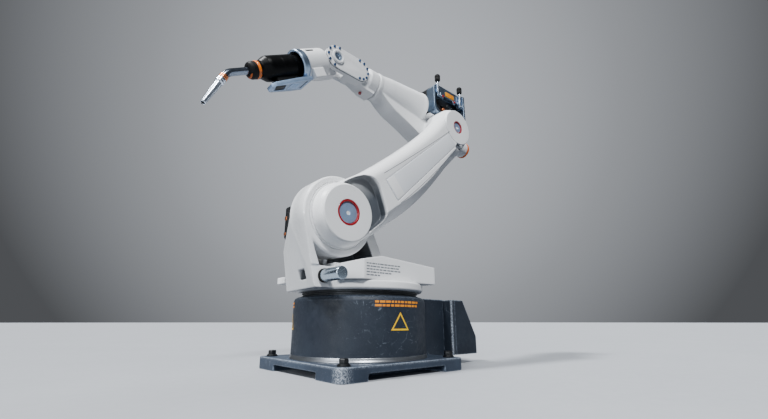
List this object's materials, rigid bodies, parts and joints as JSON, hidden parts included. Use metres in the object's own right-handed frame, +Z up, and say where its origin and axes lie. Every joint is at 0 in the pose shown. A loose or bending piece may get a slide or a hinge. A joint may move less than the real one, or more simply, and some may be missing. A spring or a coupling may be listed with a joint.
{
  "type": "six-axis welding robot arm",
  "caption": "Six-axis industrial robot arm on a square base, with a wire feeder on the elbow and a swan-neck welding torch on the wrist.",
  "frame": {"origin": "on the slewing axis at the underside of the base plate", "axes": "+X is the way the arm reaches, +Y is the robot's left, +Z is up along the slewing axis"},
  "size_m": [1.2307, 0.48, 1.2612],
  "materials": {
    "white_paint": "satin",
    "cover_paint": "satin",
    "charcoal_casting": "matte",
    "black_plastic": "matte",
    "black_rubber": "matte",
    "blue_steel": "satin",
    "chrome": "polished",
    "dark_chrome": "polished",
    "crimson": "gloss",
    "orange": "gloss",
    "copper": "satin",
    "dark_steel": "matte"
  },
  "bodies": {
    "base": {"base_plate": "charcoal_casting", "base_column": "charcoal_casting", "slew_bearing": "dark_steel", "rear_neck": "charcoal_casting", "rear_box": "charcoal_casting", "rear_cover": "charcoal_casting", "power_connector": "black_plastic", "signal_connector": "blue_steel", "anchor_bolt_1": "dark_steel", "anchor_bolt_2": "dark_steel", "anchor_bolt_3": "dark_steel", "anchor_bolt_4": "dark_steel"},
    "turret": {"turntable_ring": "white_paint", "turret_deck": "white_paint", "shoulder_pillar": "white_paint", "side_bracket": "white_paint", "slew_motor": "black_plastic", "handling_pin": "chrome", "pin_collar": "black_rubber", "shoulder_flange": "white_paint", "shoulder_motor": "black_plastic"},
    "lower_arm": {"lower_arm_shell": "white_paint", "lower_arm_cover": "cover_paint", "shoulder_ring": "crimson", "shoulder_cap": "blue_steel", "elbow_ring": "crimson", "elbow_cap": "blue_steel"},
    "upper_arm": {"forearm_housing": "white_paint", "elbow_spigot": "dark_steel", "roll_motor_housing": "white_paint", "motor_end_cap": "orange", "feeder_shelf": "white_paint", "feeder_case": "black_plastic", "feeder_frame": "blue_steel", "feeder_nameplate": "orange", "wire_inlet": "copper"},
    "tension_lever_1": {"tension_lever_1": "chrome", "tension_knob_1": "black_rubber"},
    "tension_lever_2": {"tension_lever_2": "chrome", "tension_knob_2": "black_rubber"},
    "feed_roll_1": {"feed_roll_1": "dark_steel"},
    "feed_roll_2": {"feed_roll_2": "dark_steel"},
    "wrist": {"wrist_housing": "white_paint", "wrist_cover": "white_paint", "wrist_belt_cover": "cover_paint", "bend_boss": "white_paint", "bend_cap": "blue_steel", "wrist_plug": "crimson"},
    "tilt": {"tilt_housing": "white_paint"},
    "tool": {"tool_clamp": "blue_steel", "torch_body": "black_plastic", "torch_bracket": "blue_steel", "torch_ring": "orange", "torch_cap": "black_rubber", "torch_neck": "dark_chrome", "copper_band": "copper", "gas_nozzle": "chrome", "contact_tip": "dark_steel"}
  },
  "joints": [
    {"name": "slew", "type": "hinge", "parent": "base", "child": "turret", "pos_m": [0, 0, 0], "axis": [0, 0, 1], "range_deg": [-170, 170]},
    {"name": "shoulder", "type": "hinge", "parent": "turret", "child": "lower_arm", "pos_m": [0.172, 0, 0.465], "axis": [0, 1, 0], "range_deg": [-20, 90]},
    {"name": "elbow", "type": "hinge", "parent": "lower_arm", "child": "upper_arm", "pos_m": [-0.38666, 0, 0.94724], "axis": [0, -1, 0], "range_deg": [-22, 95]},
    {"name": "wrist_roll", "type": "hinge", "parent": "upper_arm", "child": "wrist", "pos_m": [0.15846, 0, 1.09297], "axis": [0.9986, 0, 0.0523], "range_deg": [-180, 180]},
    {"name": "wrist_bend", "type": "hinge", "parent": "wrist", "child": "tilt", "pos_m": [0.15846, 0, 1.09297], "axis": [0, -1, 0], "range_deg": [-37, 117]},
    {"name": "tool_roll", "type": "hinge", "parent": "tilt", "child": "tool", "pos_m": [0.15846, 0, 1.09297], "axis": [0.8616, 0, -0.5075], "range_deg": [-180, 180]},
    {"name": "tension_lever_1_swing", "type": "hinge", "parent": "upper_arm", "child": "tension_lever_1", "pos_m": [-0.38566, 0.064, 1.16124], "axis": [-1, 0, 0], "range_deg": [0, 70]},
    {"name": "tension_lever_2_swing", "type": "hinge", "parent": "upper_arm", "child": "tension_lever_2", "pos_m": [-0.54666, 0.064, 1.16124], "axis": [-1, 0, 0], "range_deg": [0, 70]},
    {"name": "feed_roll_1_spin", "type": "hinge", "parent": "upper_arm", "child": "feed_roll_1", "pos_m": [-0.39866, 0.04, 1.09724], "axis": [0, 1, 0], "continuous": true},
    {"name": "feed_roll_2_spin", "type": "hinge", "parent": "upper_arm", "child": "feed_roll_2", "pos_m": [-0.44866, 0.04, 1.09724], "axis": [0, 1, 0], "continuous": true}
  ],
  "couplings": [
    {"joint": "feed_roll_2_spin", "follows": "feed_roll_1_spin", "ratio": -1}
  ]
}
